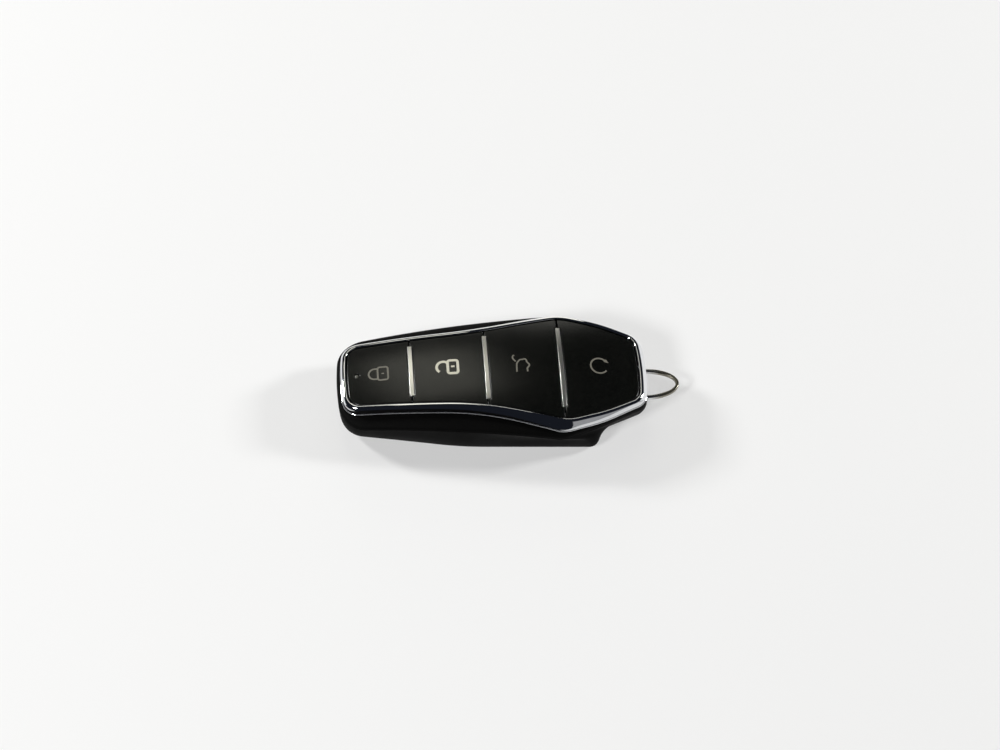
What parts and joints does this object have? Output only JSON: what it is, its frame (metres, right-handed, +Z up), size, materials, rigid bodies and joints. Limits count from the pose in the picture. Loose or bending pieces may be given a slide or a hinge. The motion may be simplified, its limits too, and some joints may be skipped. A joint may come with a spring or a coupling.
{
  "type": "car key fob",
  "caption": "Remote car key fob with sprung keys in a chrome frame, a black housing with cell and board, and a pull-out emergency key whose head is the key-ring loop.",
  "frame": {"origin": "middle of the fob's length and width, on the surface it lies on", "axes": "+X along the body towards the key-ring loop, +Y across the body, +Z up out of the key face"},
  "size_m": [0.0854, 0.0358, 0.0156],
  "materials": {
    "housing_plastic": "satin black moulding",
    "key_plastic": "fine satin grain",
    "chrome_trim": "bright chrome plating",
    "inner_plastic": "matt moulding",
    "soft_rubber": "matt silicone",
    "board_laminate": "lacquered board",
    "chip_plastic": "matt package",
    "steel": "bare steel",
    "contact_brass": "plated strip",
    "light_guide": "clear moulding"
  },
  "bodies": {
    "case": {"rear_housing": "housing_plastic", "front_housing": "housing_plastic", "chrome_frame": "chrome_trim", "divider_1": "chrome_trim", "divider_2": "chrome_trim", "divider_3": "chrome_trim", "key_carrier": "inner_plastic", "inner_tray": "inner_plastic", "rim_seal": "soft_rubber", "key_mat": "soft_rubber", "circuit_board": "board_laminate", "switch_lock": "chip_plastic", "switch_unlock": "chip_plastic", "switch_boot": "chip_plastic", "switch_start": "chip_plastic", "control_chip": "chip_plastic", "radio_chip": "chip_plastic", "board_screws": "steel", "coin_cell": "steel", "crystal": "steel", "release_spring": "steel", "cell_contact_plus": "contact_brass", "cell_contact_minus": "contact_brass", "receiver_coil": "contact_brass", "indicator_lamp": "light_guide", "light_pipe": "light_guide"},
    "lock_key": {"key_lock": "key_plastic", "plunger_lock": "chip_plastic"},
    "unlock_key": {"key_unlock": "key_plastic", "plunger_unlock": "chip_plastic"},
    "boot_key": {"key_boot": "key_plastic", "plunger_boot": "chip_plastic"},
    "start_key": {"key_start": "key_plastic", "plunger_start": "chip_plastic"},
    "emergency_key": {"key_blade": "steel", "key_head": "chrome_trim"},
    "release": {"release_slider": "housing_plastic"},
    "cover": {"back_cover": "housing_plastic"}
  },
  "joints": [
    {"name": "lock_press", "type": "slide", "parent": "case", "child": "lock_key", "axis": [0, 0, -1], "range_m": [0, 0.0005], "stiffness_N_per_m": 900, "deforming": ["key_mat"]},
    {"name": "unlock_press", "type": "slide", "parent": "case", "child": "unlock_key", "axis": [0, 0, -1], "range_m": [0, 0.0005], "stiffness_N_per_m": 900, "deforming": ["key_mat"]},
    {"name": "boot_press", "type": "slide", "parent": "case", "child": "boot_key", "axis": [0, 0, -1], "range_m": [0, 0.0005], "stiffness_N_per_m": 900, "deforming": ["key_mat"]},
    {"name": "start_press", "type": "slide", "parent": "case", "child": "start_key", "axis": [0, 0, -1], "range_m": [0, 0.0005], "stiffness_N_per_m": 900, "deforming": ["key_mat"]},
    {"name": "emergency_key_pull", "type": "slide", "parent": "case", "child": "emergency_key", "axis": [1, 0, 0], "range_m": [0, 0.052]},
    {"name": "release_slide", "type": "slide", "parent": "case", "child": "release", "axis": [0, -1, 0], "range_m": [0, 0.0013], "stiffness_N_per_m": 400, "deforming": ["release_spring"]},
    {"name": "cover_lift", "type": "slide", "parent": "case", "child": "cover", "axis": [0, 0, -1], "range_m": [0, 0.01]}
  ]
}
